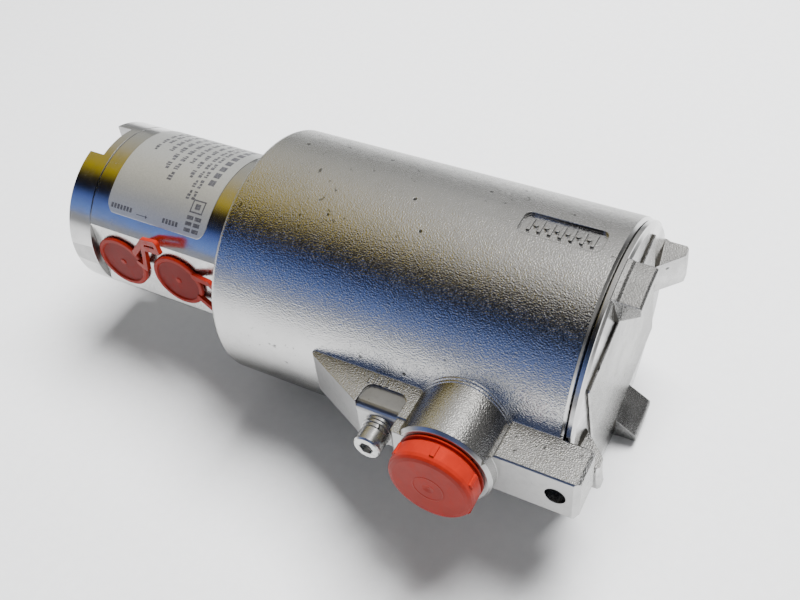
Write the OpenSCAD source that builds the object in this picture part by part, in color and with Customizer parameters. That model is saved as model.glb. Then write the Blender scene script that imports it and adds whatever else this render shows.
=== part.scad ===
// Flameproof stainless-steel solenoid valve, 3/2-way, direct acting.
// The valve axis is X and the conduit entry, inlet and exhaust ports face -Y. Shapes are
// drawn about the valve axis from the housing's valve end, and place() sets them on the ground.

/* [Housing] */
// outer radius of the cast coil housing
housing_r = 41.5; // [41:0.5:43]
// length of the coil housing
housing_len = 115.8; // [115.6:0.2:117]
// radius of the coil chamber
chamber_r = 35; // [34.6:0.2:35.4]
// distance of the conduit boss from the housing's valve end
boss_x = 87.3; // [86:0.5:89]
// radius of the conduit boss
boss_r = 15; // [14.6:0.2:15.6]
// height of the conduit boss above the valve axis
boss_h = 57.5; // [57:0.5:59]
// radius of the conduit entry thread, M20
conduit_r = 9.25; // [9:0.05:9.4]
// half width of the earth wedge and the locking block
block_half = 7.8; // [7.4:0.2:8.2]
// height of the locking block's face above the valve axis
block_h = 53.5; // [53:0.25:54]
// height of the earth screw's spot face above the valve axis
wedge_h = 52.6; // [52:0.2:53]

/* [Cover] */
// radius of the cover flange
flange_r = 41; // [40.6:0.1:41]
// thickness of the cover flange
flange_t = 2.4; // [2.2:0.1:2.8]
// height of the lugs above the flange face
lug_h = 7.5; // [6.5:0.5:8.5]
// direction of the first lug, measured from the conduit boss
lug_turn = 78; // [70:1:86]
// radius of the cover thread
cover_thread_r = 36; // [35.9:0.05:36.1]

/* [Valve body] */
// radius of the turned valve body
body_r = 28.9; // [28.5:0.1:29.2]
// distance from the housing to the end cap
body_len = 59.7; // [59.5:0.1:60]
// distance of the milled flats from the valve axis
flat_h = 25.9; // [25.8:0.1:26.2]
// distance of the inlet port from the housing
inlet_x = 25.2; // [25:0.1:25.6]
// distance of the outlet port from the housing
outlet_x = 37; // [36.8:0.1:37.2]
// distance of the exhaust port from the housing
exhaust_x = 48.8; // [48.6:0.1:49]
// radius of the port threads, 1/4 NPT
port_r = 5.8; // [5.6:0.05:5.9]
// length of the end cap's rim
cap_len = 9.7; // [9:0.1:10.5]
// width of the spanner slot across the end cap
slot_w = 15.3; // [14:0.1:16]

/* [Solenoid] */
// radius of the plunger
plunger_r = 9.2; // [9.1:0.05:9.2]
// travel of the plunger
stroke = 2.0; // [1.6:0.1:2]

/* [Conduit plug] */
// radius of the conduit plug's knob
knob_r = 12.9; // [12.6:0.1:13.1]
// height of the knob's face above the valve axis
knob_h = 65.5; // [65:0.25:66]

/* [Port plugs] */
// tilt of the pull loops away from the flat
strap_tilt = 14; // [12:1:20]

/* [Hidden] */
$fn = 96;
plate_t = 0.9;
flange_x = housing_len + 0.3;
face_x = flange_x + flange_t;
lug_x = face_x + lug_h;
end_x = -body_len - cap_len - 0.1;
cap_x = -body_len - 0.1;
// middle of the whole valve in plan, and its axis one housing radius up
off = [-(lug_x + end_x) / 2, (knob_h - housing_r) / 2, housing_r];
// face of the fixed pole, end of the plunger, and place of the exhaust seat
pole_x = 30;
plunger_x = pole_x + 0.3 + stroke;
exhaust_seat_x = -40.75 - stroke;
thread_in_r = cover_thread_r + 0.3;
earth_x = 65.6;
lock_x = 118.7;
pad_x = 98.1;
// machined land on the earth wedge, and the easing of the cast blocks' long edges
land_x = 64.9;
land_h = 48.9;
land_deep = 0.8;
block_ease = 0.64;
ink = "#26292c";

// ---------- helpers ----------
module place() {
    translate(off) children();
}

// cylinder along X from x0 to x1
module xcyl(r, x0, x1, y = 0, z = 0, fn = 96) {
    translate([x0, y, z]) rotate([0, 90, 0]) cylinder(r = r, h = x1 - x0, $fn = fn);
}

// tube along X
module xtube(ro, ri, x0, x1) {
    difference() {
        xcyl(ro, x0, x1);
        xcyl(ri, x0 - 1, x1 + 1);
    }
}

// solid of revolution about X, points are [radius, x]
module xrev(pts) {
    rotate([0, 90, 0]) rotate_extrude($fn = 128) polygon(pts);
}

// cylinder along -Y from height h0 to h1
module ycyl(r, h0, h1, x = 0, z = 0, fn = 96) {
    translate([x, -h0, z]) rotate([90, 0, 0]) cylinder(r = r, h = h1 - h0, $fn = fn);
}

// solid of revolution about -Y, points are [radius, height]
module yrev(pts, x = 0, z = 0) {
    translate([x, 0, z]) rotate([90, 0, 0]) rotate_extrude($fn = 96) polygon(pts);
}

// ring of round section about X
module xring(r, t, x) {
    translate([x, 0, 0]) rotate([0, 90, 0]) rotate_extrude($fn = 96)
        translate([r, 0]) circle(r = t, $fn = 32);
}

// hexagonal prism along X, w across flats
module xhex(w, x0, x1) {
    translate([x0, 0, 0]) rotate([0, 90, 0]) rotate([0, 0, 30])
        cylinder(r = w / 2 / cos(30), h = x1 - x0, $fn = 6);
}

// flat bar with chamfered corners, built in the XZ plane and raised along -Y
module chamfer_bar(x0, x1, z0, z1, h0, h1, c) {
    translate([0, -h0, 0]) rotate([90, 0, 0]) linear_extrude(height = h1 - h0)
        polygon([[x0 + c, z0], [x1 - c, z0], [x1, z0 + c], [x1, z1 - c],
            [x1 - c, z1], [x0 + c, z1], [x0, z1 - c], [x0, z0 + c]]);
}

// cutter that rounds an edge along X, where a -Y face meets a +Z face
module edge_cut(x0, x1, y, z, r) {
    translate([x0, y, z]) rotate([90, 0, 90]) linear_extrude(height = x1 - x0)
        polygon(concat([[r, 1], [-1, 1], [-1, -r]],
            [for (t = [0:15:90]) [r - r * cos(t), r * sin(t) - r]]));
}

// rounded rectangle in the XY plane
module round_rect(w, d, r) {
    square([w - 2 * r, d], center = true);
    square([w, d - 2 * r], center = true);
    for (i = [-1, 1], j = [-1, 1])
        translate([i * (w / 2 - r), j * (d / 2 - r)]) circle(r = r, $fn = 32);
}

// ---------- housing ----------
module wedge_block() {
    // earth wedge: a slanted ramp, the screw's spot face, and a rib beside the boss
    b = block_half;
    h = wedge_h;
    difference() {
        translate([0, 0, -b]) linear_extrude(height = 2 * b)
            polygon([[37.5, -36], [37.5, -41.6], [38.6, -42.6], [57.6, -h + 0.5], [58.6, -h],
                [72, -h], [72, -56.9], [72.7, -57.6], [77.6, -57.6], [78.3, -56.9], [78.3, -36]]);
        // long edges of the ramp are eased
        for (s = [-1, 1])
            translate([57.5, -h, s * b]) rotate([45, 0, 0])
                cube([42, block_ease, block_ease], center = true);
        // machined land on the near side, which rolls over onto the spot face
        translate([land_x, -land_h, b]) linear_extrude(height = 2 * land_deep, center = true)
            round_rect(13.4, 8.4, 2.8);
        edge_cut(land_x - 6.7, land_x + 6.7, -h, b - land_deep, 3.0);
    }
    // cast earth mark: four short bars
    for (i = [0:3])
        translate([58.4 + i * 1.9, -43.6 - i * 0.1, b - 0.2]) cube([0.7, 3.0 - i * 0.6, 1.0], center = true);
}

module lock_block() {
    b = block_half;
    difference() {
        chamfer_bar(100.3, 125.2, -b, b, 36, block_h, 1.1);
        // bevelled outer corner over the cover
        translate([125.2, -block_h, 0]) rotate([0, 0, 45]) cube([2.2, 2.2, 40], center = true);
        for (s = [-1, 1])
            translate([112, -block_h, s * b]) rotate([45, 0, 0])
                cube([40, block_ease, block_ease], center = true);
    }
}

module date_pad_cut() {
    difference() {
        rotate([-1.4, 0, 0]) translate([pad_x, 0, housing_r]) linear_extrude(height = 6, center = true)
            round_rect(24.4, 9.4, 2.2);
        xcyl(housing_r - 0.9, 70, 120, fn = 128);
    }
}

module date_pad_marks() {
    // raised cast marks in the recessed pad: plain bars with a dot between each two
    intersection() {
        xtube(housing_r - 0.35, housing_r - 1.4, 80, 114);
        rotate([-1.4, 0, 0]) translate([pad_x, 0, 40]) {
            for (i = [-3:3]) translate([i * 3.1, 0, 0]) cube([1.0, 5.2, 6], center = true);
            for (i = [-3:2]) translate([(i + 0.5) * 3.1, 0, 0])
                cylinder(r = 0.7, h = 6, center = true, $fn = 24);
        }
    }
}

module boss_fillet() {
    // small stepped fillet that follows the saddle where the boss leaves the housing
    for (k = [0, 1])
        intersection() {
            ycyl(boss_r + 0.35 + 0.6 * k, 20, boss_h - 2, x = boss_x);
            xcyl(housing_r + 1.0 - 0.6 * k, boss_x - 20, boss_x + 20, fn = 128);
        }
}

module housing() {
    color("#b9bab8") difference() {
        union() {
            xrev([[0, 0], [housing_r - 1.3, 0], [housing_r - 0.4, 0.4], [housing_r, 1.3],
                [housing_r, housing_len - 0.9], [housing_r - 0.9, housing_len], [0, housing_len]]);
            yrev([[0, 20], [boss_r, 20], [boss_r, boss_h - 0.9], [boss_r - 0.9, boss_h], [0, boss_h]],
                x = boss_x);
            boss_fillet();
            wedge_block();
            lock_block();
            // low web between the boss and the locking block
            translate([98, -44.5, 0]) cube([9, 6, 11], center = true);
        }
        // coil chamber, cover thread and the bore for the valve body
        xcyl(chamber_r, 8, 101, fn = 128);
        xcyl(thread_in_r, 100, housing_len + 1, fn = 128);
        xcyl(20, -1, 9);
        // room for the cover under the locking block
        xcyl(housing_r + 0.3, housing_len, 135, fn = 128);
        // conduit entry with a lead-in
        ycyl(conduit_r, 20, boss_h - 3, x = boss_x);
        ycyl(10.6, boss_h - 4, boss_h + 1, x = boss_x);
        // earth screw hole and locking screw hole
        ycyl(2.52, 44.5, wedge_h + 1, x = earth_x);
        ycyl(3, 30, block_h + 1, x = lock_x);
        // recessed pad for the cast marks
        date_pad_cut();
        // hole for the inner earth screw
        rotate([100, 0, 0]) ycyl(2.02, 27, 34, x = 92);
    }
    // pad for the inner earth screw
    color("#b9bab8") difference() {
        rotate([100, 0, 0]) ycyl(5, 30, 35.6, x = 92);
        rotate([100, 0, 0]) ycyl(2.02, 27, 34, x = 92);
    }
    color("#b9bab8") date_pad_marks();
}

// ---------- cover ----------
module lug() {
    // one lug of the cover, standing on the flange in the -Y direction
    intersection() {
        xrev([[29.6, face_x - 1], [29.6, face_x + 0.2], [30.6, face_x + 1.2], [36.0, lug_x - 0.5],
            [36.6, lug_x], [39.2, lug_x], [39.9, lug_x - 0.7], [40.0, face_x + 1.5],
            [40.5, face_x + 0.5], [40.6, face_x - 1]]);
        translate([100, -50, 0]) rotate([0, 90, 0]) linear_extrude(height = 40)
            polygon([[-7.2, 0], [-6.6, 25], [6.6, 25], [7.2, 0]]);
    }
}

module cover_plate() {
    // raised square plate with clipped corners
    s = 26.9;
    k = 26.1;
    rotate([0, 90, 0]) translate([0, 0, face_x - 0.5]) difference() {
        linear_extrude(height = plate_t + 0.5)
            polygon([for (q = [0:3]) for (e = [-1, 1]) let (a = 90 * q)
                [s * cos(a) - e * k * sin(a), s * sin(a) + e * k * cos(a)]]);
        for (q = [0:3]) rotate([0, 0, 90 * q]) translate([s + 0.1, 0, plate_t + 0.5]) rotate([0, 45, 0])
            cube([0.7, 80, 0.7], center = true);
    }
}

module cover() {
    color("#c3c4c1") difference() {
        union() {
            // flange, step and thread plug
            xrev([[0, flange_x - 8.3], [cover_thread_r - 0.8, flange_x - 8.3],
                [cover_thread_r, flange_x - 7.5], [cover_thread_r, flange_x - 3.2], [33.7, flange_x - 3.2],
                [33.7, flange_x - 0.6], [cover_thread_r, flange_x - 0.6], [cover_thread_r, flange_x],
                [flange_r - 0.4, flange_x], [flange_r, flange_x + 0.3], [flange_r, flange_x + 1.5],
                [flange_r - 0.35, flange_x + 1.6], [flange_r - 1.3, face_x], [0, face_x]]);
            rotate([-lug_turn, 0, 0]) {
                rotate([2, 0, 0]) cover_plate();
                for (q = [0:3]) rotate([90 * q, 0, 0]) lug();
            }
        }
        // hollow inside of the thread plug
        xcyl(31, flange_x - 9, flange_x - 1.2, fn = 128);
    }
}

module cover_oring() {
    color(ink) xring(34.85, 1.1, flange_x - 1.9);
}

module lock_screw() {
    color("#8f9190") difference() {
        yrev([[0, 41.5], [1.6, 41.5], [2.95, 42.6], [2.95, 49.2], [2.6, 49.6], [0, 49.6]], x = lock_x);
        translate([lock_x, -46.5, 0]) rotate([90, 0, 0]) cylinder(r = 1.73, h = 5, $fn = 6);
    }
}

// ---------- conduit plug ----------
module conduit_plug() {
    top = knob_h;
    seat = boss_h + 0.1;
    color("#c8382a") difference() {
        union() {
            // spigot, thin flange, groove and knob
            yrev([[0, seat - 2.5], [10.5, seat - 2.5], [10.5, seat], [12.8, seat], [13.0, seat + 0.2],
                [13.0, seat + 0.7], [12.0, seat + 0.8], [12.0, seat + 1.6], [knob_r - 0.4, seat + 1.6],
                [knob_r, seat + 2.0], [knob_r, top - 1.8], [knob_r - 0.3, top - 0.9],
                [knob_r - 0.9, top - 0.3], [knob_r - 1.9, top], [0, top]], x = boss_x);
            // low ring on the face
            yrev([[4.3, top - 0.2], [4.3, top + 0.02], [4.6, top + 0.12], [4.9, top + 0.02],
                [4.9, top - 0.2]], x = boss_x);
            // grip tabs round the side
            for (i = [0:5]) translate([boss_x, 0, 0]) rotate([0, 60 * i + 4, 0])
                translate([0, -(top + seat) / 2 - 0.1, knob_r])
                    cube([1.3, top - seat - 4, 0.9], center = true);
        }
        // shallow dish in the middle of the face
        yrev([[0, top - 0.35], [0.5, top - 0.35], [1.8, top + 0.02], [1.8, top + 1], [0, top + 1]],
            x = boss_x);
        // hollow spigot
        ycyl(8.6, boss_h - 4, boss_h + 4.5, x = boss_x);
    }
}

// ---------- earth connection ----------
module earth_screw() {
    h = wedge_h + 3.2;
    color("#a9aaa8") difference() {
        yrev([[0, 45], [2.0, 45], [2.47, 45.6], [2.47, h], [4.1, h], [4.25, h + 0.2], [4.25, h + 4.5],
            [3.8, h + 5], [0, h + 5]], x = earth_x);
        translate([earth_x, -h - 2.4, 0]) rotate([90, 0, 0]) cylinder(r = 2.31, h = 4, $fn = 6);
    }
}

module earth_spring_washer() {
    h = wedge_h + 1.98;
    color("#9b9c9a") difference() {
        ycyl(4.45, h, h + 1.2, x = earth_x);
        ycyl(2.6, h - 1, h + 2, x = earth_x);
        // slanted split
        translate([earth_x + 1.2, -h - 0.6, 3.4]) rotate([0, 30, 20]) cube([0.5, 4, 3.4], center = true);
    }
}

module earth_clamp_washer() {
    // stepped clamp washer
    h = wedge_h + 0.02;
    color("#a9aaa8") yrev([[2.65, h], [4.9, h], [4.9, h + 0.85], [4.4, h + 0.95], [4.4, h + 1.05],
        [4.8, h + 1.1], [4.8, h + 1.93], [2.65, h + 1.93]], x = earth_x);
}

// ---------- valve body ----------
module port_cut(x) {
    // screwed port: lead-in, thread bore and passage to the middle
    ycyl(7.25, flat_h - 3, flat_h + 5, x = x);
    ycyl(port_r, 13, flat_h - 2, x = x);
    ycyl(3.2, 8, 14, x = x);
}

module valve_body() {
    color("#c6c7c4") difference() {
        xrev([[0, -body_len], [body_r - 0.25, -body_len], [body_r, -body_len + 0.25], [body_r, -0.1],
            [19.95, -0.1], [19.95, 7.6], [19.4, 8.2], [0, 8.2]]);
        // two milled flats
        for (s = [-1, 1]) translate([-60, s * (flat_h + 10), 0]) cube([200, 20, 80], center = true);
        // end cap thread, seat chamber, rod gland, core tube socket
        xcyl(16, -body_len - 1, -body_len + 4.6);
        xcyl(11, -body_len, -16);
        xcyl(6, -17, -7);
        xcyl(10.5, -8, 9);
        // ports
        port_cut(-inlet_x);
        port_cut(-exhaust_x);
        rotate([180, 0, 0]) port_cut(-outlet_x);
        // mounting holes on the far flat
        for (s = [-1, 1])
            rotate([180, 0, 0]) ycyl(2.1, flat_h - 9, flat_h + 2, x = -14, z = s * 8.5, fn = 48);
        // groove for the body seal
        difference() {
            xcyl(21, 3, 5.2);
            xcyl(18.2, 2, 6);
        }
    }
}

module body_oring() {
    color(ink) xring(19.08, 0.86, 4.1);
}

module end_cap() {
    color("#c6c7c4") difference() {
        xrev([[0, end_x], [body_r - 0.5, end_x], [body_r, end_x + 0.5], [body_r, cap_x - 0.2],
            [body_r - 0.2, cap_x], [15.95, cap_x], [15.95, cap_x + 0.3], [14.5, cap_x + 0.3],
            [14.5, cap_x + 2.2], [15.95, cap_x + 2.2], [15.95, cap_x + 4.2], [15.6, cap_x + 4.5],
            [0, cap_x + 4.5]]);
        // spanner slot across the end and a turned recess
        translate([end_x + 1.0, 0, 0]) cube([10.6, slot_w, 90], center = true);
        xcyl(17.5, end_x - 1, end_x + 2.5);
        // pocket for the return spring
        xcyl(6.5, cap_x - 1.5, cap_x + 6, fn = 64);
    }
}

module end_cap_oring() {
    color(ink) xring(15.22, 0.7, cap_x + 1.25);
}

module body_label() {
    // thin foil wrapped over the body between the two flats
    color("#d2d3d0") rotate([-90, 0, 0]) intersection() {
        rotate([90, 0, 0]) xtube(body_r + 0.16, body_r + 0.02, -54, -13);
        rotate([90, 0, 0]) translate([-33.35, 0, 0]) linear_extrude(height = 60) round_rect(40, 45.2, 3);
    }
}

// ---------- port plugs ----------
// flat band along a line of points, with slightly wider knuckles where it bends
module band2d(pts, w) {
    for (i = [0:len(pts) - 2]) {
        d = pts[i + 1] - pts[i];
        translate(pts[i]) circle(r = 0.54 * w, $fn = 24);
        translate(pts[i]) rotate([0, 0, atan2(d[1], d[0])]) translate([0, -w / 2]) square([norm(d), w]);
    }
    translate(pts[len(pts) - 1]) circle(r = 0.54 * w, $fn = 24);
}

module strap(x, bands) {
    // pull loop moulded on the rim, tipped away from the flat
    translate([x + 7.6, -flat_h - 0.95, 0]) rotate([0, 0, -strap_tilt]) rotate([90, 0, 0])
        translate([0, 0, -0.7]) linear_extrude(height = 1.4) for (pts = bands) band2d(pts, 2.1);
}

// a straight loop, and one that is pushed aside by its neighbour
loop_straight = [[[0.3, 5.0], [8.6, 6.7], [14.2, 4.0], [14.2, -3.6], [8.4, -6.4], [0.4, -4.6]]];
loop_bent = [[[0.3, 7.4], [8.2, 16.6], [4.6, 2.7], [1.0, 3.0]],
    [[8.2, 16.6], [15.6, 19.4], [16.2, 16.4], [9.0, 14.0]]];

module port_plug(x, bands) {
    f = flat_h;
    difference() {
        union() {
            // spigot, flange and raised rim
            yrev([[0, f - 2.4], [6.9, f - 2.4], [7.17, f - 2.0], [7.17, f + 0.05], [9.7, f + 0.05],
                [10, f + 0.3], [10, f + 1.1], [9.6, f + 1.4], [8.5, f + 1.4], [8.1, f + 0.9], [1.2, f + 0.9],
                [0.9, f + 1.15], [0, f + 1.2]], x = x);
            strap(x, bands);
        }
        ycyl(5.9, f - 4, f - 0.3, x = x);
    }
}

module inlet_plug() {
    color("#cf3a2c") port_plug(-inlet_x, loop_straight);
}

module exhaust_plug() {
    color("#cf3a2c") port_plug(-exhaust_x, loop_bent);
}

module outlet_plug() {
    color("#cf3a2c") rotate([180, 0, 0]) port_plug(-outlet_x, loop_straight);
}

// ---------- seats and poppet ----------
module seat(x, s) {
    // seat insert with a raised lip towards the poppet; s points to the poppet
    translate([x, 0, 0]) rotate([0, s > 0 ? 0 : 180, 0]) xrev([[3, -1.75], [10.6, -1.75], [10.95, -1.4],
        [10.95, -0.85], [9.5, -0.85], [9.5, 0.85], [10.95, 0.85], [10.95, 1.4], [10.6, 1.75], [4.6, 1.75],
        [4.2, 2.55], [3, 2.55]]);
}

module inlet_seat() {
    color("#b8b9b7") seat(-31.25, -1);
}

module exhaust_seat() {
    color("#b8b9b7") seat(exhaust_seat_x, 1);
}

module inlet_seat_oring() {
    color(ink) xring(10.22, 0.7, -31.25);
}

module exhaust_seat_oring() {
    color(ink) xring(10.22, 0.7, exhaust_seat_x);
}

module poppet() {
    color("#b0b1af") xrev([[0, -36.95], [5.6, -36.95], [6, -36.6], [6, -35.4], [5.6, -35.05], [0, -35.05]]);
}

module inlet_disc() {
    color("#3a3c3e") difference() {
        xcyl(5.4, -35.05, -33.85);
        xcyl(1.2, -36, -33);
    }
}

module exhaust_disc() {
    color("#3a3c3e") difference() {
        xcyl(5.4, -38.15, -36.95);
        xcyl(1.2, -39, -36);
    }
}

module push_rod() {
    color("#c9cac8") xcyl(1.2, -35.05, plunger_x, fn = 48);
}

module rod_bush() {
    color("#b08d4a") xtube(5.95, 1.25, -15.9, -12.7);
}

module rod_oring() {
    color(ink) xring(2.12, 0.85, -11.6);
}

module spring_retainer() {
    color("#b0b1af") xrev([[0, -48.2], [4.6, -48.2], [5, -47.8], [5, -46.9], [1.2, -46.9],
        [1.2, -36.95], [0, -36.95]]);
}

module return_spring() {
    // coil spring drawn as short round links, with a flat ring at each end
    turns = 4;
    n = 8;
    x0 = cap_x - 1.05;
    x1 = -48.65;
    rm = 4.1;
    w = 0.42;
    step = 360 / n;
    chord = 2 * rm * sin(step / 2);
    rise = (x1 - x0) / (turns * n);
    link = sqrt(chord * chord + rise * rise);
    color("#7f8284") {
        xring(rm, w, x0);
        xring(rm, w, x1);
        for (i = [0:turns * n - 1])
            translate([x0 + rise * (i + 0.5), 0, 0]) rotate([step * (i + 0.5), 0, 0])
                translate([0, rm * cos(step / 2), 0]) rotate([0, atan2(rise, chord), 0])
                    cylinder(r = w, h = link + 0.14, center = true, $fn = 16);
    }
}

// ---------- solenoid ----------
module plunger() {
    color("#a4a6a6") difference() {
        xrev([[0, plunger_x], [8.7, plunger_x], [plunger_r, plunger_x + 0.5], [plunger_r, 61.5],
            [8.7, 62], [0, 62]]);
        for (s = [-1, 1]) translate([47, s * plunger_r, 0]) cube([40, 1.2, 2], center = true);
    }
}

module fixed_pole() {
    color("#a4a6a6") difference() {
        xrev([[0, -7.8], [8.8, -7.8], [9.35, -7.2], [9.35, pole_x], [0, pole_x]]);
        xcyl(1.5, -9, pole_x + 1, fn = 48);
        // groove for the shading ring
        xrev([[5.9, pole_x - 1.3], [7.4, pole_x - 1.3], [7.4, pole_x + 1], [5.9, pole_x + 1]]);
    }
}

module shading_ring() {
    color("#b87333") xtube(7.3, 6.0, pole_x - 1.28, pole_x - 0.05);
}

module core_tube() {
    color("#c9cac8") difference() {
        xrev([[0, -7.9], [10.4, -7.9], [10.4, 66], [4, 66], [4, 80], [0, 80]]);
        xcyl(9.4, -9, 64);
    }
}

module coil_bobbin() {
    color("#2f3133") difference() {
        xrev([[10.6, 12.4], [29.6, 12.4], [29.6, 14.2], [12.2, 14.2], [12.2, 58.9], [29.6, 58.9],
            [29.6, 60.7], [10.6, 60.7]]);
        for (s = [-1, 1]) xcyl(1.5, 58, 62, y = 22, z = s * 9.6, fn = 32);
    }
}

module coil_winding() {
    // enamelled wire, shown as layers of turns on the outside
    color("#9c4a1e") xrev(concat([[12.3, 14.4]],
        [for (i = [0:19]) each [[28.2, 14.4 + i * 2.2], [28.6, 15.5 + i * 2.2]]],
        [[28.2, 58.4], [12.3, 58.4]]));
}

module yoke_front_plate() {
    color("#8d9092") xtube(33.5, 10.6, 8.6, 11.8);
}

module yoke_sleeve() {
    color("#8d9092") xtube(33.4, 30.4, 11.9, 61);
}

module yoke_rear_plate() {
    color("#8d9092") difference() {
        xtube(33.5, 10.6, 61.1, 63.9);
        for (s = [-1, 1]) xcyl(2.2, 60, 65, y = 22, z = s * 9.6, fn = 32);
    }
}

module coil_washer() {
    color("#a9aaa8") xtube(14, 4.1, 66.1, 67.6);
}

module coil_nut() {
    color("#a9aaa8") difference() {
        xhex(14, 67.7, 72.7);
        xcyl(4.05, 60, 90, fn = 64);
    }
}

module jam_nut() {
    color("#a9aaa8") difference() {
        xhex(14, 74.9, 78.6);
        xcyl(4.05, 60, 90, fn = 64);
    }
}

module terminal_bracket() {
    color("#b5b6b4") {
        difference() {
            union() {
                xcyl(11, 72.8, 74.8);
                translate([72.8, 0, -11]) cube([2, 24, 22]);
            }
            xcyl(4.1, 70, 80, fn = 64);
        }
        for (s = [-1, 1]) translate([74.8, 19, s * 8 - 2]) cube([4.6, 4, 4]);
    }
}

module terminal_block() {
    color("#e4e1d6") difference() {
        translate([79.5, 12, -15.5]) cube([12, 14, 31]);
        for (k = [-1:1]) {
            // wire mouths and screw wells
            translate([81.2, 8, k * 9.6 - 3]) cube([6, 22, 6]);
            xcyl(2.4, 86, 93, y = 19, z = k * 9.6, fn = 32);
        }
        for (k = [-1, 1]) translate([88, 11, k * 4.8 - 0.6]) cube([5, 16, 1.2]);
    }
}

module terminal_clamps() {
    // one brass clamp in each way of the block
    for (k = [-1:1]) color("#b08d4a") difference() {
        translate([81.4, 15.2, k * 9.6 - 2.7]) cube([5.6, 7.6, 5.4]);
        translate([82.4, 14, k * 9.6 - 1.8]) cube([2.6, 10, 3.6]);
        xcyl(1.55, 84, 88, y = 19, z = k * 9.6, fn = 32);
    }
}

module terminal_screws() {
    for (k = [-1:1]) color("#a9aaa8") difference() {
        union() {
            xcyl(1.5, 85.4, 88, y = 19, z = k * 9.6, fn = 32);
            xcyl(2.3, 87.3, 89.6, y = 19, z = k * 9.6, fn = 32);
        }
        translate([89.3, 19, k * 9.6]) cube([1.2, 0.7, 6], center = true);
    }
}

// quarter bend of a lead in the XY plane about a centre
module bend(c, r, a0, z) {
    translate([c[0], c[1], z]) rotate([0, 0, a0]) rotate_extrude(angle = 90, $fn = 48)
        translate([r, 0]) circle(r = 1.2, $fn = 24);
}

module lead(s) {
    // insulated lead from the bobbin through the rear plate to its clamp
    z = s * 9.6;
    xcyl(1.2, 59.6, 66, y = 22, z = z, fn = 24);
    bend([66, 25], 3, -90, z);
    translate([69, 25, z]) rotate([-90, 0, 0]) cylinder(r = 1.2, h = 1, $fn = 24);
    bend([72, 26], 3, 90, z);
    xcyl(1.2, 72, 81.2, y = 29, z = z, fn = 24);
    bend([81.2, 26.5], 2.5, 0, z);
    translate([83.7, 23.1, z]) rotate([-90, 0, 0]) cylinder(r = 1.2, h = 3.4, $fn = 24);
}

module lead_live() {
    color("#6d4a2c") lead(1);
}

module lead_neutral() {
    color("#2f5fae") lead(-1);
}

module inner_earth_screw() {
    color("#b08d4a") rotate([100, 0, 0]) difference() {
        union() {
            ycyl(1.98, 25.6, 33.5, x = 92, fn = 48);
            ycyl(3.8, 26.2, 28.9, x = 92, fn = 48);
        }
        translate([92, -25.5, 0]) cube([10, 2.4, 1], center = true);
    }
}

module inner_earth_washer() {
    color("#b08d4a") rotate([100, 0, 0]) difference() {
        ycyl(4.6, 28.95, 29.95, x = 92, fn = 48);
        ycyl(2.05, 28, 31, x = 92, fn = 48);
    }
}

place() housing();
place() cover();
place() cover_oring();
place() lock_screw();
place() conduit_plug();
place() earth_screw();
place() earth_spring_washer();
place() earth_clamp_washer();
place() valve_body();
place() end_cap();
place() end_cap_oring();
place() body_oring();
place() body_label();
place() inlet_plug();
place() exhaust_plug();
place() outlet_plug();
place() inlet_seat();
place() exhaust_seat();
place() inlet_seat_oring();
place() exhaust_seat_oring();
place() poppet();
place() inlet_disc();
place() exhaust_disc();
place() push_rod();
place() rod_bush();
place() rod_oring();
place() spring_retainer();
place() return_spring();
place() plunger();
place() fixed_pole();
place() shading_ring();
place() core_tube();
place() coil_bobbin();
place() coil_winding();
place() yoke_front_plate();
place() yoke_sleeve();
place() yoke_rear_plate();
place() coil_washer();
place() coil_nut();
place() terminal_bracket();
place() jam_nut();
place() terminal_block();
place() terminal_screws();
place() terminal_clamps();
place() lead_live();
place() lead_neutral();
place() inner_earth_screw();
place() inner_earth_washer();
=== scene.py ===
"""Looks of a flameproof solenoid valve: cast and turned steel, red dust plugs, a printed foil label."""
import math

import bmesh
import bpy
from mathutils import Matrix, Vector


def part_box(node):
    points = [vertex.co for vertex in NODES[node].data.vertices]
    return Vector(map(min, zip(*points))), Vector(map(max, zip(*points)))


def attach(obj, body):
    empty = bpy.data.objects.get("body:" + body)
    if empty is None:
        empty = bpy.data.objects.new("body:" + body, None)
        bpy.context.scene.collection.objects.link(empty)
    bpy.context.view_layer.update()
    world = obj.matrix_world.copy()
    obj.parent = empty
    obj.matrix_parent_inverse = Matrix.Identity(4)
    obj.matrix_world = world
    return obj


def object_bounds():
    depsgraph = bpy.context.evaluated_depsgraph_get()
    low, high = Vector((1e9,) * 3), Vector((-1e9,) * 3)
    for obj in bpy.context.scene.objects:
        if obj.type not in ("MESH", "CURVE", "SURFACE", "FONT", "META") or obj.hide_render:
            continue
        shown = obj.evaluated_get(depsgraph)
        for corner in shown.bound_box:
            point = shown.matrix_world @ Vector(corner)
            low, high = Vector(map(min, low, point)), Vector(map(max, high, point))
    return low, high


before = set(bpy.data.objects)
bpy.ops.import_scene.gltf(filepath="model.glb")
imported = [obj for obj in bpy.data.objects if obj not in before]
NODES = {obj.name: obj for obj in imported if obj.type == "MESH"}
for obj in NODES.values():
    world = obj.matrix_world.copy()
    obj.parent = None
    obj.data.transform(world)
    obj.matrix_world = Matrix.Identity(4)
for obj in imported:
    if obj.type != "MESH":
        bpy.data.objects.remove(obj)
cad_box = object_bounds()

MM = 0.001


# ---------- places, all from the frame ----------
def centre(node):
    low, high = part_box(node)
    return (low + high) / 2


body_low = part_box("valve_body")[0]
label_low, label_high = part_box("body_label")
cover_low, cover_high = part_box("cover")
AXIS_Y = centre("end_cap").y
AXIS_Z = centre("end_cap").z
HOUSING_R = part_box("housing")[1].z - AXIS_Z
HOUSING_FRONT = AXIS_Y - HOUSING_R
FLAT = AXIS_Y - body_low.y  # from the axis to the flats with the ports
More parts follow.
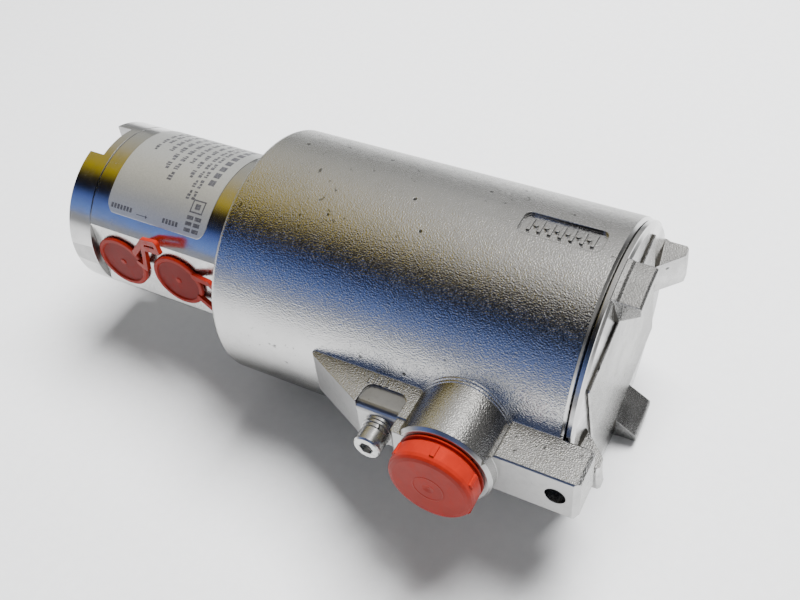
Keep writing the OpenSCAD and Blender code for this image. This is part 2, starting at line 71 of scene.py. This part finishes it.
# on the cover: the machined face behind the lugs' tips, the start of the thread plug, and two radii
COVER_FACE_X = cover_high.x - 7.5 * MM
COVER_PLUG_X = cover_high.x - 10.4 * MM
COVER_RIM_R = 38.8 * MM
COVER_PLATE_R = 37.6 * MM


# ---------- a short way to write shader nodes ----------
COLOUR_MIX = (0, 6, 7)  # a Mix node's sockets for its factor and its two colours


def feed(tree, value, socket):
    """Links another node's output to the socket, or sets a plain value on it."""
    if hasattr(value, "is_output"):
        tree.links.new(value, socket)
    else:
        socket.default_value = value


class Paint:
    """A material being made. Textures are laid out in metres on the piece itself."""

    def __init__(self, name):
        self.mat = bpy.data.materials.new(name)
        self.mat.use_nodes = True
        self.tree = self.mat.node_tree
        self.tree.nodes.clear()
        self.out = self.tree.nodes.new("ShaderNodeOutputMaterial")
        self.bsdf = self.tree.nodes.new("ShaderNodeBsdfPrincipled")
        feed(self.tree, self.bsdf.outputs[0], self.out.inputs["Surface"])
        self.place = self.tree.nodes.new("ShaderNodeTexCoord").outputs["Object"]
        self.normal = None

    def node(self, kind, sockets=(), **settings):
        made = self.tree.nodes.new("ShaderNode" + kind)
        for key, value in settings.items():
            setattr(made, key, value)
        for key, value in dict(sockets).items():
            feed(self.tree, value, made.inputs[key])
        return made

    def math(self, operation, a, b=0.0):
        return self.node("Math", {0: a, 1: b}, operation=operation).outputs[0]

    def noise(self, per_metre, detail=3.0, roughness=0.55, stretch=None, distortion=0.0):
        place = self.place
        if stretch:
            place = self.node("VectorMath", {0: place, 1: stretch}, operation="MULTIPLY").outputs[0]
        return self.node("TexNoise", {"Vector": place, "Scale": per_metre, "Detail": detail,
                                      "Roughness": roughness, "Distortion": distortion}).outputs["Fac"]

    def cells(self, per_metre):
        return self.node("TexVoronoi", {"Vector": self.place, "Scale": per_metre}).outputs["Distance"]

    def ring_noise(self, value, per_unit):
        """Noise along one value, such as a radius or an angle."""
        return self.node("TexNoise", {"W": value, "Scale": per_unit, "Detail": 3.0},
                         noise_dimensions="1D").outputs["Fac"]

    def span(self, value, low, high, to_low=0.0, to_high=1.0):
        return self.node("MapRange", {"Value": value, "From Min": low, "From Max": high,
                                      "To Min": to_low, "To Max": to_high}).outputs[0]

    def mix(self, factor, a, b):
        made = self.node("Mix", data_type="RGBA")
        for value, index in zip((factor, a, b), COLOUR_MIX):
            feed(self.tree, value, made.inputs[index])
        return made.outputs[2]

    def rounded(self, radius):
        """Edges catch the light as if they had this radius."""
        self.normal = self.node("Bevel", {"Radius": radius}, samples=6).outputs[0]

    def bump(self, height, depth, strength=1.0):
        sockets = {"Height": height, "Distance": depth, "Strength": strength}
        if self.normal is not None:
            sockets["Normal"] = self.normal
        self.normal = self.node("Bump", sockets).outputs[0]

    def done(self, **sockets):
        for key, value in sockets.items():
            feed(self.tree, value, self.bsdf.inputs[key.replace("_", " ")])
        if self.normal is not None:
            feed(self.tree, self.normal, self.bsdf.inputs["Normal"])
        return self.mat


def tone(red, green, blue):
    return (red, green, blue, 1.0)


def shade(colour, factor):
    return (colour[0] * factor, colour[1] * factor, colour[2] * factor, 1.0)


# ---------- steels ----------
STEEL = tone(0.57, 0.567, 0.558)


def cast_steel(name, grain=1.0, roughness=0.20, stained=0.92):
    """Investment casting, bead blasted: orange-peel lumps and fine sparkle.

    Painted on it are broad stains, a few pits, knocks in the places that are handled, and mottled painted
    shade low down."""
    p = Paint(name)
    broad = p.noise(35.0, detail=2.0)
    lumps = p.noise(2800.0, detail=0.5, roughness=0.4)
    beads = p.span(p.cells(1900.0), 0.1, 0.7, 1.0, 0.0)
    no_pit = p.span(p.cells(100.0), 0.045, 0.075)
    stain = p.span(p.noise(60.0, detail=6.0, roughness=0.7), 0.40, 0.68)
    handled = p.span(p.noise(42.0, detail=1.0), 0.54, 0.60)
    nicks = p.span(p.noise(520.0, detail=4.0, stretch=(1.0, 0.6, 1.0)), 0.64, 0.70)
    knocks = p.math("MULTIPLY", handled, nicks)
    # painted shade: the casting gets darker towards the bottom, mottled
    height = p.node("SeparateXYZ", {0: p.place}).outputs[2]
    low = p.span(height, AXIS_Z - 4 * MM, AXIS_Z - 24 * MM)
    mottle = p.span(p.noise(130.0, detail=6.0, roughness=0.7), 0.35, 0.62, 0.6, 1.0)
    painted_low_shade = p.math("MULTIPLY", low, mottle)
    p.rounded(0.45 * MM)
    p.bump(broad, 0.12 * MM)
    p.bump(lumps, 0.075 * MM * grain)
    p.bump(beads, 0.04 * MM * grain)
    p.bump(no_pit, 0.12 * MM, strength=0.6)
    base = p.mix(stain, STEEL, shade(STEEL, stained))
    # the painted shade low down
    base = p.mix(painted_low_shade, base, shade(STEEL, 0.40))
    base = p.mix(no_pit, shade(STEEL, 0.18), base)
    base = p.mix(knocks, base, shade(STEEL, 0.35))
    uneven = p.span(lumps, 0.3, 0.7, -0.03, 0.04)
    rough = p.math("ADD", uneven, p.span(stain, 0.0, 1.0, roughness, roughness + 0.05))
    return p.done(Base_Color=base, Metallic=1.0, Roughness=rough, Specular_Tint=tone(0.68, 0.68, 0.67))


def turned_steel(name, roughness=0.17):
    """Lathe-turned: fine lines run round the X axis, with faint handling marks."""
    p = Paint(name)
    lines = p.noise(5200.0, detail=3.0, stretch=(1.0, 0.02, 0.02))
    broad = p.noise(40.0, detail=2.0)
    marks = p.noise(150.0, detail=6.0, roughness=0.65, distortion=0.6)
    p.rounded(0.2 * MM)
    p.bump(broad, 0.03 * MM)
    p.bump(lines, 0.004 * MM)
    smudge = p.span(marks, 0.46, 0.70)
    base = p.mix(smudge, STEEL, shade(STEEL, 0.9))
    uneven = p.span(lines, 0.3, 0.7, -0.03, 0.04)
    rough = p.math("ADD", uneven, p.span(smudge, 0.0, 1.0, roughness, roughness + 0.10))
    return p.done(Base_Color=base, Metallic=1.0, Roughness=rough)


def faced_steel(name):
    """A face turned square to the X axis: fine rings, and light and dark radial streaks painted in its
    colour as the glints such rings throw.
    """
    p = Paint(name)
    parts = p.node("SeparateXYZ", {0: p.place})
    y = p.math("SUBTRACT", parts.outputs[1], AXIS_Y)
    z = p.math("SUBTRACT", parts.outputs[2], AXIS_Z)
    radius = p.math("SQRT", p.math("ADD", p.math("MULTIPLY", y, y), p.math("MULTIPLY", z, z)))
    turn = p.math("ARCTAN2", z, y)
    rings = p.ring_noise(radius, 5200.0)
    painted_glints = p.ring_noise(turn, 1.7)
    p.rounded(0.2 * MM)
    p.bump(rings, 0.006 * MM)
    # painted reflection: light and dark radial glints in the base colour
    base = p.mix(p.span(painted_glints, 0.42, 0.60), shade(STEEL, 0.34), shade(STEEL, 1.12))
    return p.done(Base_Color=base, Metallic=1.0, Roughness=p.span(rings, 0.3, 0.7, 0.20, 0.29))


def milled_steel(name, colour=STEEL, roughness=0.30):
    """Flat machined faces: close straight cutter lines and a soft sheen."""
    p = Paint(name)
    lines = p.noise(3000.0, detail=2.0, stretch=(1.0, 1.0, 0.03))
    marks = p.noise(120.0, detail=7.0, roughness=0.7)
    specks = p.span(p.cells(260.0), 0.03, 0.07)
    p.rounded(0.3 * MM)
    p.bump(lines, 0.006 * MM)
    p.bump(marks, 0.02 * MM)
    stain = p.span(marks, 0.45, 0.72)
    base = p.mix(stain, colour, shade(colour, 0.78))
    base = p.mix(specks, shade(colour, 0.45), base)
    rough = p.span(stain, 0.0, 1.0, roughness, roughness + 0.12)
    return p.done(Base_Color=base, Metallic=1.0, Roughness=rough)


def bright_steel(name):
    """Bought-in screws and washers."""
    p = Paint(name)
    scratches = p.noise(2200.0, detail=4.0, stretch=(1.0, 0.15, 1.0))
    marks = p.noise(700.0, detail=4.0)
    p.rounded(0.15 * MM)
    p.bump(scratches, 0.008 * MM)
    base = p.mix(p.span(marks, 0.4, 0.7), STEEL, shade(STEEL, 0.8))
    return p.done(Base_Color=base, Metallic=1.0, Roughness=p.span(marks, 0.3, 0.7, 0.2, 0.35))


def inner_metal(name, colour, roughness=0.35, grain=900.0):
    """Plain metal parts inside the housing."""
    p = Paint(name)
    marks = p.noise(grain, detail=5.0)
    tint = p.noise(90.0, detail=3.0)
    p.bump(marks, 0.02 * MM)
    base = p.mix(p.span(tint, 0.35, 0.65), colour, shade(colour, 0.78))
    rough = p.span(marks, 0.3, 0.7, roughness, roughness + 0.15)
    return p.done(Base_Color=base, Metallic=1.0, Roughness=rough)


# ---------- plastics, rubber and foil ----------
def moulded_plastic(name, colour, roughness=0.42, glow=0.12):
    """Soft moulded plastic with a slight ripple, scuffs and dust."""
    p = Paint(name)
    ripple = p.noise(170.0, detail=2.0)
    skin = p.noise(2400.0, detail=3.0)
    scuff = p.noise(420.0, detail=7.0, roughness=0.7, stretch=(1.0, 0.5, 0.4))
    p.rounded(0.25 * MM)
    p.bump(ripple, 0.12 * MM)
    p.bump(skin, 0.010 * MM)
    worn = p.span(scuff, 0.52, 0.75)
    base = p.mix(p.span(ripple, 0.35, 0.65), shade(colour, 0.86), colour)
    base = p.mix(worn, base, shade(colour, 1.25))
    rough = p.span(worn, 0.0, 1.0, roughness, roughness + 0.2)
    return p.done(Base_Color=base, Roughness=rough, Specular_IOR_Level=0.14, Subsurface_Weight=glow,
                  Subsurface_Radius=(1.0 * MM, 0.3 * MM, 0.2 * MM), Subsurface_Scale=1.0)


def rubber(name):
    p = Paint(name)
    skin = p.noise(1800.0, detail=4.0)
    p.bump(skin, 0.03 * MM)
    base = p.mix(p.span(skin, 0.35, 0.65), tone(0.018, 0.018, 0.019), tone(0.04, 0.04, 0.04))
    return p.done(Base_Color=base, Roughness=p.span(skin, 0.3, 0.7, 0.5, 0.7))


def label_foil(name):
    """Matt silver foil, a little wrinkled."""
    p = Paint(name)
    wrinkle = p.noise(110.0, detail=3.0, roughness=0.6, stretch=(1.0, 1.0, 0.6))
    fibre = p.noise(1900.0, detail=3.0)
    p.bump(wrinkle, 0.16 * MM)
    p.bump(fibre, 0.008 * MM)
    base = p.mix(p.span(fibre, 0.3, 0.7), tone(0.40, 0.405, 0.40), tone(0.49, 0.495, 0.49))
    return p.done(Base_Color=base, Metallic=0.75, Roughness=p.span(fibre, 0.3, 0.7, 0.40, 0.48))


def label_ink(name):
    p = Paint(name)
    wear = p.noise(2600.0, detail=4.0)
    base = p.mix(p.span(wear, 0.5, 0.7), tone(0.03, 0.03, 0.035), tone(0.16, 0.16, 0.17))
    return p.done(Base_Color=base, Roughness=p.span(wear, 0.3, 0.7, 0.38, 0.5))


def taped_winding(name):
    p = Paint(name)
    weave = p.node("TexWave", {"Vector": p.place, "Scale": 160.0, "Distortion": 1.2, "Detail": 2.0},
                   bands_direction="X").outputs["Fac"]
    p.bump(weave, 0.12 * MM)
    base = p.mix(weave, tone(0.55, 0.36, 0.07), tone(0.70, 0.50, 0.13))
    return p.done(Base_Color=base, Roughness=p.span(weave, 0.0, 1.0, 0.35, 0.5))


# ---------- materials on the CAD nodes ----------
def face_middle(mesh, face):
    return sum((mesh.vertices[i].co for i in face.vertices), Vector()) / len(face.vertices)


def dress(node, *layers):
    """layers are materials, each with a test of a face's middle and normal; the first has none."""
    mesh = NODES[node].data
    mesh.materials.clear()
    for material, _ in layers:
        mesh.materials.append(material)
    for face in mesh.polygons:
        middle = face_middle(mesh, face)
        face.material_index = 0
        for index, (_, test) in enumerate(layers):
            if test and test(middle, face.normal):
                face.material_index = index


def off_axis(point):
    return math.hypot(point.y - AXIS_Y, point.z - AXIS_Z)


def dress_castings():
    """The housing and the cover: cast outside, machined where a tool has been."""
    cast = cast_steel("cast_steel")
    # painted shade: milled steel at 0.7 of the plain tone, darker than the valve body's milled flats, for
    # the machined front faces; the land and the end cap's slot share it
    shaded_milled = milled_steel("milled_steel", shade(STEEL, 0.7))
    turned = turned_steel("turned_steel")
    # painted shade: a near-black metal for the walls of the cast marks and at the foot of the cover's plate
    shaded_edge = inner_metal("painted_shade_edge", tone(0.10, 0.095, 0.085), 0.4)
    land_x, land_half, land_low, land_high = centre("earth_screw").x, 8 * MM, 2 * MM, 7.4 * MM
    bar_z = AXIS_Z + 7.95 * MM  # middle height of the walls of the wedge's bars
    pad_low = AXIS_Z + 30 * MM

    def machined_outside(middle, normal):
        return normal.y < -0.6 and middle.y < HOUSING_FRONT - 0.4 * MM

    def land(middle, normal):
        """The faced step that the earth screw sits on."""
        on_land = abs(middle.x - land_x) < land_half and middle.y < HOUSING_FRONT - 3 * MM
        return on_land and land_low < middle.z - AXIS_Z < land_high and normal.z > 0.2

    def outlined(middle, normal):
        """Walls of the cast marks: the bars on the wedge and everything in the recessed pad, painted dark as
        shade.
        """
        radius = off_axis(middle)
        outward = ((middle.y - AXIS_Y) * normal.y + (middle.z - AXIS_Z) * normal.z) / radius
        in_pad = -1.0 * MM < radius - HOUSING_R < -0.3 * MM and middle.z > pad_low
        pad_wall = in_pad and abs(outward) < 0.6 and middle.x < cover_low.x
        bar = abs(middle.z - bar_z) < 0.13 * MM and abs(normal.z) < 0.5
        return pad_wall or bar and middle.y < HOUSING_FRONT

    def bored(middle, normal):
        inside = off_axis(middle) < HOUSING_R - 1.2 * MM
        end_face = abs(normal.x) > 0.4 and HOUSING_R - 2 * MM < off_axis(middle) < HOUSING_R + 0.1 * MM
        return inside or end_face and middle.x > 0

    dress("housing", (cast, None), (shaded_milled, machined_outside), (shaded_milled, land), (shaded_edge, outlined),
          (turned, bored))

    def rim(middle, normal):
        return off_axis(middle) > COVER_RIM_R and middle.x < COVER_FACE_X - 0.2 * MM

    def faced(middle, normal):
        return normal.x > 0.9 and abs(middle.x - COVER_FACE_X) < 0.3 * MM

    # the walls at the foot of the cover's plate get painted shade
    def plate_wall(middle, normal):
        at_foot = 0 < middle.x - COVER_FACE_X < 0.42 * MM
        return abs(normal.x) < 0.3 and at_foot and off_axis(middle) < COVER_PLATE_R

    def screwed_in(middle, normal):
        return middle.x < COVER_PLUG_X

    face_cast = cast_steel("cover_cast", grain=0.55, roughness=0.24, stained=0.66)
    dress("cover", (face_cast, None), (turned, rim), (faced_steel("faced_steel"), faced),
          (shaded_edge, plate_wall), (turned, screwed_in))
    return turned, shaded_milled


def dress_rest(turned, shaded_milled):
    """All other CAD nodes."""
    slot_x = body_low.x - 6.0 * MM  # floor of the end cap's slot
    recess_out = FLAT + 0.9 * MM  # dished face of a port plug, out from the axis

    def flat(middle, normal):
        return abs(normal.y) > 0.99

    def slot_wall(middle, normal):
        return abs(normal.y) > 0.99 or middle.x > slot_x and abs(normal.x) > 0.99

    dress("valve_body", (turned, None), (milled_steel("milled_flat", roughness=0.24), flat))
    dress("end_cap", (turned, None), (shaded_milled, slot_wall))
    bright = bright_steel("bright_steel")
    dull = inner_metal("dull_steel", tone(0.09, 0.088, 0.085), 0.3, 500.0)
    zinc = inner_metal("zinc_plate", tone(0.62, 0.63, 0.58))
    iron = inner_metal("magnet_steel", tone(0.50, 0.51, 0.52), 0.25)
    tube = turned_steel("tube_steel", roughness=0.22)
    brass = inner_metal("brass", tone(0.78, 0.58, 0.24), 0.25)
    red = moulded_plastic("red_plastic", tone(0.30, 0.016, 0.007))
    # painted shade: a darker, duller red for the dished faces of the port plugs
    red_shaded_face = moulded_plastic("red_plastic_shaded_face", tone(0.18, 0.010, 0.007), 0.5)
    black = rubber("black_rubber")
    one_material = {
        bright: "earth_screw earth_spring_washer earth_clamp_washer coil_nut jam_nut coil_washer"
                " inner_earth_screw inner_earth_washer terminal_screws",
        dull: "lock_screw",
        zinc: "yoke_front_plate yoke_sleeve yoke_rear_plate terminal_bracket",
        iron: "plunger fixed_pole",
        tube: "core_tube push_rod poppet spring_retainer inlet_seat exhaust_seat",
        brass: "terminal_clamps",
        red: "conduit_plug",
        black: "cover_oring end_cap_oring body_oring inlet_seat_oring exhaust_seat_oring rod_oring"
               " inlet_disc exhaust_disc",
        label_foil("label_foil"): "body_label",
        inner_metal("spring_wire", tone(0.42, 0.42, 0.43), 0.3): "return_spring",
        inner_metal("copper", tone(0.80, 0.40, 0.24), 0.25): "shading_ring",
        taped_winding("winding_tape"): "coil_winding",
        moulded_plastic("bobbin_plastic", tone(0.05, 0.05, 0.055), 0.5, 0.0): "coil_bobbin",
        moulded_plastic("terminal_plastic", tone(0.66, 0.63, 0.52), 0.45, 0.05): "terminal_block",
        moulded_plastic("bush_plastic", tone(0.74, 0.73, 0.68), 0.4, 0.05): "rod_bush",
        moulded_plastic("lead_red_skin", tone(0.40, 0.03, 0.02), 0.45, 0.0): "lead_live",
        moulded_plastic("lead_blue_skin", tone(0.03, 0.08, 0.35), 0.45, 0.0): "lead_neutral",
    }
    for material, nodes in one_material.items():
        for node in nodes.split():
            dress(node, (material, None))

    def recess(middle, normal):
        return abs(normal.y) > 0.9 and abs(abs(middle.y - AXIS_Y) - recess_out) < 0.12 * MM

    for node in ("inlet_plug", "exhaust_plug", "outlet_plug"):
        dress(node, (red, None), (red_shaded_face, recess))


# ---------- label print: bars and boxes in place of words ----------
LABEL_R = label_high.z - AXIS_Z + 0.01 * MM  # the ink stands just clear of the foil
INK_THICK = 0.02 * MM


def ink_patch(bm, x0, x1, a0, a1):
    """A thin printed patch on the label, from x0 to x1 and from angle a0 to a1 in degrees.

    Angles are measured from the top of the body, positive towards the ports."""
    steps = max(1, round(abs(a1 - a0) / 3))
    rings = []
    for i in range(steps + 1):
        angle = math.radians(a0 + (a1 - a0) * i / steps)
        for radius in (LABEL_R, LABEL_R + INK_THICK):
            y = AXIS_Y - radius * math.sin(angle)
            z = AXIS_Z + radius * math.cos(angle)
            rings.append([bm.verts.new((x0, y, z)), bm.verts.new((x1, y, z))])
    for i in range(steps):
        in0, out0, in1, out1 = rings[2 * i:2 * i + 4]
        for a, b in ((out0, out1), (in1, in0)):
            bm.faces.new((a[0], a[1], b[1], b[0]))
        bm.faces.new((in0[0], out0[0], out1[0], in1[0]))
        bm.faces.new((in0[1], in1[1], out1[1], out0[1]))
    for inner, outer in ((rings[0], rings[1]), (rings[-2], rings[-1])):
        bm.faces.new((inner[0], inner[1], outer[1], outer[0]))


def print_row(bm, x0, height, start, end, first):
    """A row of small print: short blocks in groups round the body, with a gap after each group."""
    angle, count = start, first
    while angle < end:
        for _ in range(3 + count * 5 % 5):
            width = 1.1 + 0.35 * (count * 3 % 4)
            drop = 0.3 * height if count % 3 == 1 else 0.0
            ink_patch(bm, x0 + drop, x0 + height, angle, angle + width)
            angle += width + 0.55
            count += 1
        angle += 1.7


def label_print():
    bm = bmesh.new()
    left, right = label_low.x, label_high.x
    # rows of small print: distance from the right edge and height in mm, first and last angle in degrees
    rows = [(8.6, 1.3, -44, 24), (10.7, 1.3, -44, 26), (13.8, 1.6, -42, 8), (17.2, 1.6, -44, 0),
            (20.8, 1.8, -44, 18), (24.4, 1.8, -44, 12), (28.0, 1.7, -42, -2), (31.4, 1.3, -42, -10),
            (33.7, 1.3, -40, -4)]
    for count, (inset, height, start, end) in enumerate(rows):
        print_row(bm, right - (inset + height / 2) * MM, height * MM, start, end, count)
    # a bold row of wider blocks
    for k in range(9):
        ink_patch(bm, right - 6.2 * MM, right - 3.8 * MM, -42 + k * 6.6, -37.4 + k * 6.6)
    # two square marks near the ports' corner: a frame with a bar in it, and three pairs of bars
    frame_x = right - 8.0 * MM
    for x0, x1, a0, a1 in ((0, 5.0, 27.0, 28.0), (0, 5.0, 35.0, 36.0), (0, 0.5, 27.0, 36.0),
                           (4.5, 5.0, 27.0, 36.0), (1.5, 3.5, 29.6, 33.4)):
        ink_patch(bm, frame_x + x0 * MM, frame_x + x1 * MM, a0, a1)
    for a0 in (38.0, 42.0, 46.0):
        ink_patch(bm, frame_x - 0.2 * MM, frame_x + 2.3 * MM, a0, a0 + 2.6)
        ink_patch(bm, frame_x + 2.9 * MM, frame_x + 5.4 * MM, a0, a0 + 2.6)
    # a short row of blocks beside each of the two front ports, and a fine line after the left one
    for x, blocks in ((left + 1.6 * MM, 7), (left + 23.0 * MM, 5)):
        for k in range(blocks):
            ink_patch(bm, x + 1.3 * k * MM, x + (1.3 * k + 0.95) * MM, 44.6, 47.8)
    ink_patch(bm, left + 12.4 * MM, left + 17.0 * MM, 47.4, 47.9)
    ink_patch(bm, left + 16.2 * MM, left + 16.6 * MM, 46.6, 48.7)
    return mesh_piece("label_print", bm, label_ink("label_ink"), "valve")


def mesh_piece(name, bm, material, body):
    """Makes a visual piece that moves with a body."""
    bmesh.ops.recalc_face_normals(bm, faces=bm.faces)
    mesh = bpy.data.meshes.new(name)
    bm.to_mesh(mesh)
    bm.free()
    mesh.materials.append(material)
    piece = bpy.data.objects.new(name, mesh)
    bpy.context.scene.collection.objects.link(piece)
    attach(piece, body)
    return piece


# ---------- floor, light and camera ----------
def floor():
    """A pale sweep: flat round the valve, turning up far away on all sides."""
    p = Paint("pale_floor")
    grain = p.noise(300.0, detail=3.0)
    p.bump(grain, 0.03 * MM)
    base = p.mix(p.span(grain, 0.3, 0.7), tone(0.80, 0.805, 0.815), tone(0.83, 0.835, 0.845))
    material = p.done(Base_Color=base, Roughness=0.6)
    flat, wall, height = 2.4, 3.2, 0.55  # radius where it starts to turn up, outer radius, height there
    outline = [(0.0, 0.0), (0.5, 0.0), (flat, 0.0)]
    for k in range(1, 9):
        turn = math.radians(90 * k / 8)
        outline.append((flat + (wall - flat) * math.sin(turn), height * (1 - math.cos(turn))))
    around = 96
    bm = bmesh.new()
    middle = bm.verts.new((0, 0, 0))
    rings = []
    for radius, z in outline[1:]:
        rings.append([bm.verts.new((radius * math.cos(2 * math.pi * k / around),
                                    radius * math.sin(2 * math.pi * k / around), z)) for k in range(around)])
    for k in range(around):
        nxt = (k + 1) % around
        bm.faces.new((middle, rings[0][k], rings[0][nxt]))
        for inner, outer in zip(rings, rings[1:]):
            bm.faces.new((inner[k], outer[k], outer[nxt], inner[nxt]))
    mesh = bpy.data.meshes.new("studio_floor")
    bm.to_mesh(mesh)
    bm.free()
    mesh.shade_smooth()
    mesh.materials.append(material)
    sweep = bpy.data.objects.new("studio_floor", mesh)
    bpy.context.scene.collection.objects.link(sweep)
    sweep.location.z = cad_box[0][2]


def colour_ramp(tree, stops):
    ramp = tree.nodes.new("ShaderNodeValToRGB")
    elements = ramp.color_ramp.elements
    while len(elements) < len(stops):
        elements.new(0.5)
    for element, (position, colour) in zip(elements, stops):
        element.position = position
        element.color = (*colour, 1.0)
    return ramp


def studio():
    """Soft surroundings: pale above, a dark gap in front of the valve, cool near the ground there."""
    world = bpy.data.worlds.new("studio")
    bpy.context.scene.world = world
    world.use_nodes = True
    tree = world.node_tree
    nodes, links = tree.nodes, tree.links
    nodes.clear()
    out = nodes.new("ShaderNodeOutputWorld")
    light = nodes.new("ShaderNodeBackground")
    links.new(light.outputs[0], out.inputs[0])
    direction = nodes.new("ShaderNodeSeparateXYZ")
    links.new(nodes.new("ShaderNodeTexCoord").outputs["Generated"], direction.inputs[0])

    def math_node(operation, *values):
        made = nodes.new("ShaderNodeMath")
        made.operation = operation
        for value, socket in zip(values, made.inputs):
            feed(tree, value, socket)
        return made.outputs[0]

    # 0 straight in front at the horizon, 0.5 overhead, 1 behind
    front = math_node("MULTIPLY", direction.outputs["Y"], -1.0)
    turn = math_node("ARCTAN2", math_node("MAXIMUM", direction.outputs["Z"], 0.0), front)
    turn = math_node("DIVIDE", turn, math.pi)
    right = colour_ramp(tree, [
        (0.0, (0.29, 0.35, 0.50)), (0.10, (0.24, 0.33, 0.72)), (0.20, (0.055, 0.085, 0.18)),
        (0.27, (0.015, 0.016, 0.02)), (0.37, (0.02, 0.02, 0.022)), (0.44, (0.36, 0.35, 0.345)),
        (0.50, (0.72, 0.71, 0.70)), (0.62, (0.84, 0.83, 0.815)), (0.72, (0.81, 0.80, 0.79)),
        (0.85, (0.61, 0.61, 0.60)), (1.0, (0.57, 0.57, 0.57))])
    left = colour_ramp(tree, [
        (0.0, (0.31, 0.37, 0.56)), (0.10, (0.24, 0.42, 1.05)), (0.20, (0.13, 0.21, 0.66)),
        (0.27, (0.010, 0.012, 0.022)), (0.37, (0.02, 0.016, 0.010)), (0.46, (0.60, 0.45, 0.02)),
        (0.57, (0.58, 0.45, 0.08)), (0.69, (0.63, 0.57, 0.40)), (0.85, (0.61, 0.61, 0.55)),
        (1.0, (0.59, 0.59, 0.57))])
    # the gold and strong blue show only in the left part
    side = nodes.new("ShaderNodeMapRange")
    side.inputs["From Min"].default_value = -0.40
    side.inputs["From Max"].default_value = -0.52
    links.new(direction.outputs["X"], side.inputs["Value"])

    def blend(factor, first, second, way="MIX"):
        made = nodes.new("ShaderNodeMix")
        made.data_type = "RGBA"
        made.blend_type = way
        made.clamp_result = False
        for value, index in zip((factor, first, second), COLOUR_MIX):
            feed(tree, value, made.inputs[index])
        return made.outputs[2]

    for ramp in (right, left):
        links.new(turn, ramp.inputs[0])
    both = blend(side.outputs[0], right.outputs[0], left.outputs[0])
    # the light is strongest overhead and a little to the right, and falls off at the far right
    across = colour_ramp(tree, [
        (place, (grey, grey, grey)) for place, grey in (
            (0.0, 0.5), (0.41, 0.5), (0.48, 0.64), (0.60, 0.74), (0.67, 0.45), (0.72, 0.12), (0.85, 0.10),
            (1.0, 0.22))])
    links.new(math_node("MULTIPLY_ADD", direction.outputs["X"], 0.5, 0.5), across.inputs[0])
    lit = blend(1.0, both, blend(1.0, across.outputs[0], tone(2.0, 2.0, 2.0), "MULTIPLY"), "MULTIPLY")

    # one lamp overhead, which the grain of the castings picks up as sparkle
    def hump(value, middle, half):
        gap = math_node("DIVIDE", math_node("ABSOLUTE", math_node("SUBTRACT", value, middle)), half)
        return math_node("MAXIMUM", math_node("SUBTRACT", 1.0, gap), 0.0)

    lamp = math_node("MULTIPLY", hump(direction.outputs["X"], 0.12, 0.20), hump(turn, 0.60, 0.15))
    lit = blend(lamp, lit, tone(6.0, 5.95, 5.8))
    # matt surfaces and the camera meet a plain pale studio
    glossy = nodes.new("ShaderNodeLightPath").outputs["Is Glossy Ray"]
    links.new(blend(glossy, tone(0.25, 0.252, 0.255), lit), light.inputs["Color"])
    light.inputs["Strength"].default_value = 1.0


def softbox(name, place, target, size, watts):
    """An area lamp that mirror-like surfaces don't show."""
    data = bpy.data.lights.new(name, "AREA")
    data.shape = "RECTANGLE"
    data.size, data.size_y = size
    data.energy = watts
    lamp = bpy.data.objects.new(name, data)
    lamp.location = place
    lamp.rotation_euler = (Vector(target) - Vector(place)).to_track_quat("-Z", "Y").to_euler()
    lamp.visible_glossy = False
    bpy.context.scene.collection.objects.link(lamp)


def camera():
    """The photograph's angle: from the front right, about 45 degrees down, tilted a little."""
    data = bpy.data.cameras.new("camera")
    data.lens = 44.78
    data.sensor_width = 36.0
    data.clip_start = 0.01
    place = Vector((0.13867, -0.18201, 0.26706))
    aim = Vector((0.01777, 0.00839, 0.03912))
    roll = math.radians(-6.5)
    turn = (aim - place).to_track_quat("-Z", "Y").to_matrix() @ Matrix.Rotation(roll, 3, "Z")
    made = bpy.data.objects.new("camera", data)
    made.matrix_world = Matrix.Translation(place) @ turn.to_4x4()
    bpy.context.scene.collection.objects.link(made)
    bpy.context.scene.camera = made


turned, shaded_milled = dress_castings()
dress_rest(turned, shaded_milled)
label_print()
floor()
studio()
softbox("key", place=(0.16, 0.40, 1.10), target=(0.0, 0.0, 0.04), size=(0.66, 0.66), watts=52.0)
camera()
